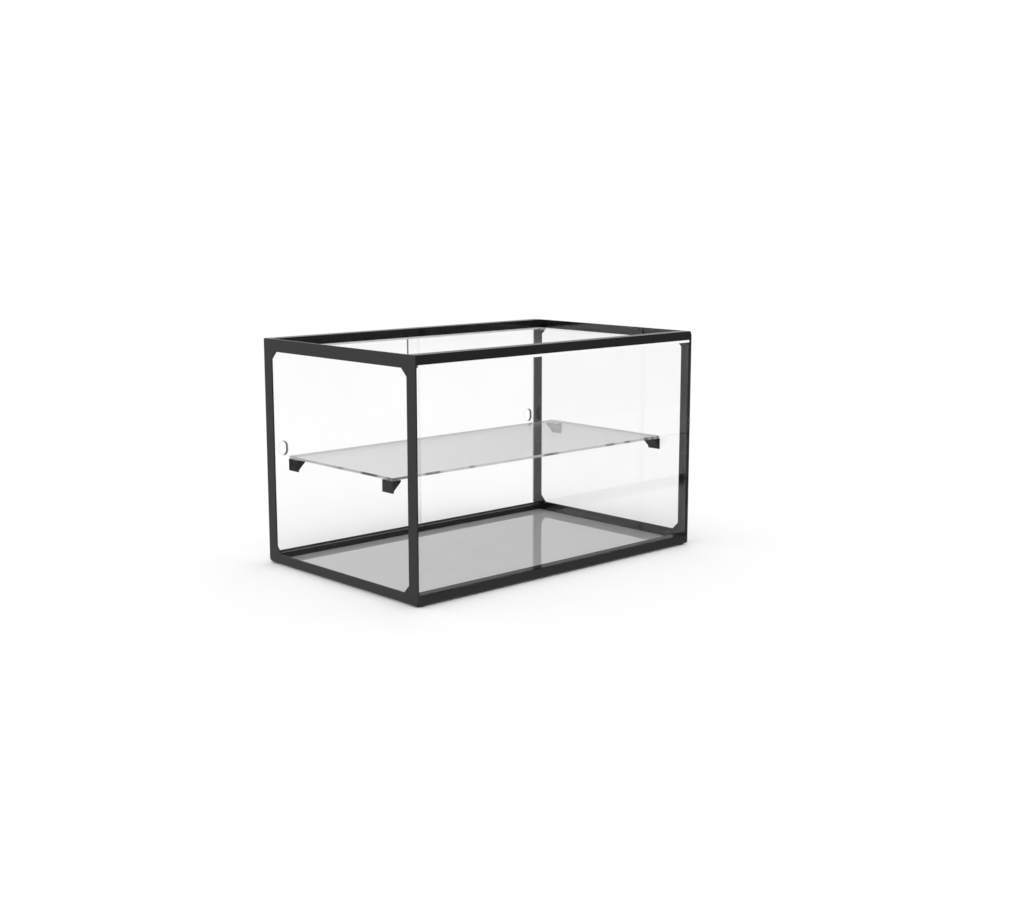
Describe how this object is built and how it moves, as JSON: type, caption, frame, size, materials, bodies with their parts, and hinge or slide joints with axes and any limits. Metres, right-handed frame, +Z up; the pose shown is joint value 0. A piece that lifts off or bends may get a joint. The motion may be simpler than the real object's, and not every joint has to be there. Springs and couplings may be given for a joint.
{
  "type": "bakery display case",
  "caption": "Countertop glass display case: black steel frame, clear glass all round, one glass shelf and sliding rear doors with finger holes.",
  "frame": {"origin": "middle of the footprint, at the level of the underside of the feet", "axes": "+Z up, +X along the width to the right seen from the front, the customer's side faces -Y, the doors are at +Y"},
  "size_m": [0.6, 0.382, 0.3675],
  "materials": {
    "frame_steel": "satin black powder coat",
    "clear_glass": "clear float glass, polished edges",
    "shelf_glass": "clear float glass, ground edges",
    "floor_gloss": "glossy grey laminate",
    "bracket_black": "satin black",
    "track_plastic": "extruded black plastic",
    "glide_plastic": "moulded slippery plastic",
    "rubber": "moulded black rubber",
    "pad_silicone": "clear soft silicone"
  },
  "bodies": {
    "cabinet": {"left_side_frame": "frame_steel", "right_side_frame": "frame_steel", "front_top_rail": "frame_steel", "front_bottom_rail": "frame_steel", "back_top_rail": "frame_steel", "back_bottom_rail": "frame_steel", "left_floor_bearer": "frame_steel", "right_floor_bearer": "frame_steel", "left_side_glass": "clear_glass", "right_side_glass": "clear_glass", "front_glass": "clear_glass", "top_glass": "clear_glass", "floor_panel": "floor_gloss", "shelf_bracket_front_left": "bracket_black", "shelf_pad_front_left": "pad_silicone", "foot_front_left": "rubber", "shelf_bracket_front_right": "bracket_black", "shelf_pad_front_right": "pad_silicone", "foot_front_right": "rubber", "shelf_bracket_back_left": "bracket_black", "shelf_pad_back_left": "pad_silicone", "foot_back_left": "rubber", "shelf_bracket_back_right": "bracket_black", "shelf_pad_back_right": "pad_silicone", "foot_back_right": "rubber", "bottom_door_track": "track_plastic", "top_door_track": "track_plastic", "track_end_stops": "rubber"},
    "left_sliding_door": {"left_door": "clear_glass", "left_door_glides": "glide_plastic"},
    "right_sliding_door": {"right_door": "clear_glass", "right_door_glides": "glide_plastic"},
    "shelf": {"glass_shelf": "shelf_glass"}
  },
  "joints": [
    {"name": "left_door_slide", "type": "slide", "parent": "cabinet", "child": "left_sliding_door", "axis": [1, 0, 0], "range_m": [0, 0.283]},
    {"name": "right_door_slide", "type": "slide", "parent": "cabinet", "child": "right_sliding_door", "axis": [-1, 0, 0], "range_m": [0, 0.283]},
    {"name": "shelf_lift", "type": "slide", "parent": "cabinet", "child": "shelf", "axis": [0, 0, 1], "range_m": [0, 0.03]}
  ]
}
